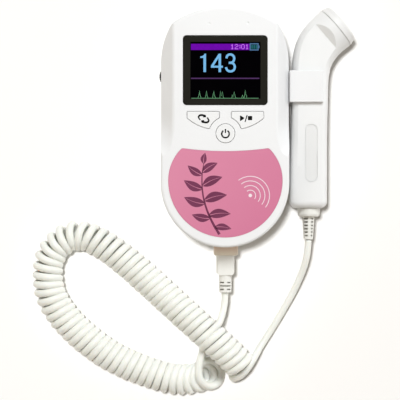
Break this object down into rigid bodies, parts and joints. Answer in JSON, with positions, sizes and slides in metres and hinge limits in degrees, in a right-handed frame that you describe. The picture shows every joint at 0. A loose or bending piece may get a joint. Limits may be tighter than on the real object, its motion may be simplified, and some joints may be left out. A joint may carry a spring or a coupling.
{
  "type": "fetal doppler monitor",
  "caption": "Hand-held fetal doppler with a colour display, three keys, a side volume wheel, and a pencil probe in a side clip on a coiled lead.",
  "frame": {"origin": "on the resting plane, under the middle of the main unit", "axes": "+Y towards the display end, +Z out of the display face, +X towards the clipped probe"},
  "size_m": [0.1853, 0.2216, 0.034],
  "materials": {
    "case_white": "smooth moulded ABS with a soft gloss",
    "key_white": "smooth moulded ABS with printed black symbols",
    "window_black": "glossy clear acrylic with a black printed border",
    "display": "colour display glass",
    "panel_pink": "printed pink polycarbonate, satin",
    "wheel_black": "black nylon, knurled",
    "probe_white": "smooth moulded ABS with a soft gloss",
    "cap_white": "smooth acoustic cap",
    "label_white": "plain label plate",
    "cord_white": "soft ivory PVC",
    "plug_ivory": "moulded ivory PVC",
    "steel": "zinc-plated steel",
    "nickel": "nickel-plated steel",
    "board_green": "green fibreglass board",
    "chip_black": "black epoxy",
    "cell_wrap": "plastic sleeve of a cell",
    "speaker_black": "coated paper cone and steel basket",
    "foam_black": "closed-cell foam",
    "piezo": "piezo ceramic with a silvered face",
    "backing_grey": "loaded epoxy"
  },
  "bodies": {
    "unit": {"front_cover": "case_white", "rear_cover": "case_white", "display_window": "window_black", "display_module": "display", "front_panel": "panel_pink", "tact_switches": "nickel", "main_board": "board_green", "board_components": "chip_black", "board_screws": "steel", "case_screws": "steel", "volume_control": "chip_black", "headphone_socket": "chip_black", "speaker_gasket": "foam_black", "speaker": "speaker_black", "battery_cells": "cell_wrap", "battery_contacts": "nickel", "battery_springs": "nickel", "plug_body": "plug_ivory", "plug_shell": "nickel", "plug_tongue": "chip_black", "plug_strain_relief": "plug_ivory", "cord_plug_lead": "cord_white", "cord_coil_long": "cord_white", "cord_coil_short": "cord_white", "cord_probe_lead": "cord_white", "probe_socket": "chip_black", "probe_clip": "case_white"},
    "power_key": {"power_button": "key_white", "switch_plunger_power": "chip_black"},
    "mode_key": {"mode_button": "key_white", "switch_plunger_mode": "chip_black"},
    "play_stop_key": {"play_stop_button": "key_white", "switch_plunger_play_stop": "chip_black"},
    "volume_dial": {"volume_wheel": "wheel_black"},
    "door": {"battery_door": "case_white"},
    "probe": {"probe_front_shell": "probe_white", "probe_rear_shell": "probe_white", "probe_label": "label_white", "probe_cap": "cap_white", "transducer_crystals": "piezo", "transducer_backing": "backing_grey", "head_seal": "foam_black", "probe_board": "board_green", "probe_board_components": "chip_black", "probe_collar": "plug_ivory", "probe_strain_relief": "plug_ivory"}
  },
  "joints": [
    {"name": "power_press", "type": "slide", "parent": "unit", "child": "power_key", "axis": [0, 0, -1], "range_m": [0, 0.0005], "stiffness_N_per_m": 800},
    {"name": "mode_press", "type": "slide", "parent": "unit", "child": "mode_key", "axis": [0, 0, -1], "range_m": [0, 0.0005], "stiffness_N_per_m": 800},
    {"name": "play_stop_press", "type": "slide", "parent": "unit", "child": "play_stop_key", "axis": [0, 0, -1], "range_m": [0, 0.0005], "stiffness_N_per_m": 800},
    {"name": "volume_turn", "type": "hinge", "parent": "unit", "child": "volume_dial", "pos_m": [-0.031, 0.02925, 0.0207], "axis": [0, 0, 1], "range_deg": [-140, 140]},
    {"name": "battery_door_slide", "type": "slide", "parent": "unit", "child": "door", "axis": [0, -1, 0], "range_m": [0, 0.034]},
    {"name": "probe_pull", "type": "slide", "parent": "unit", "child": "probe", "axis": [1, 0, 0], "range_m": [0, 0.03]}
  ]
}
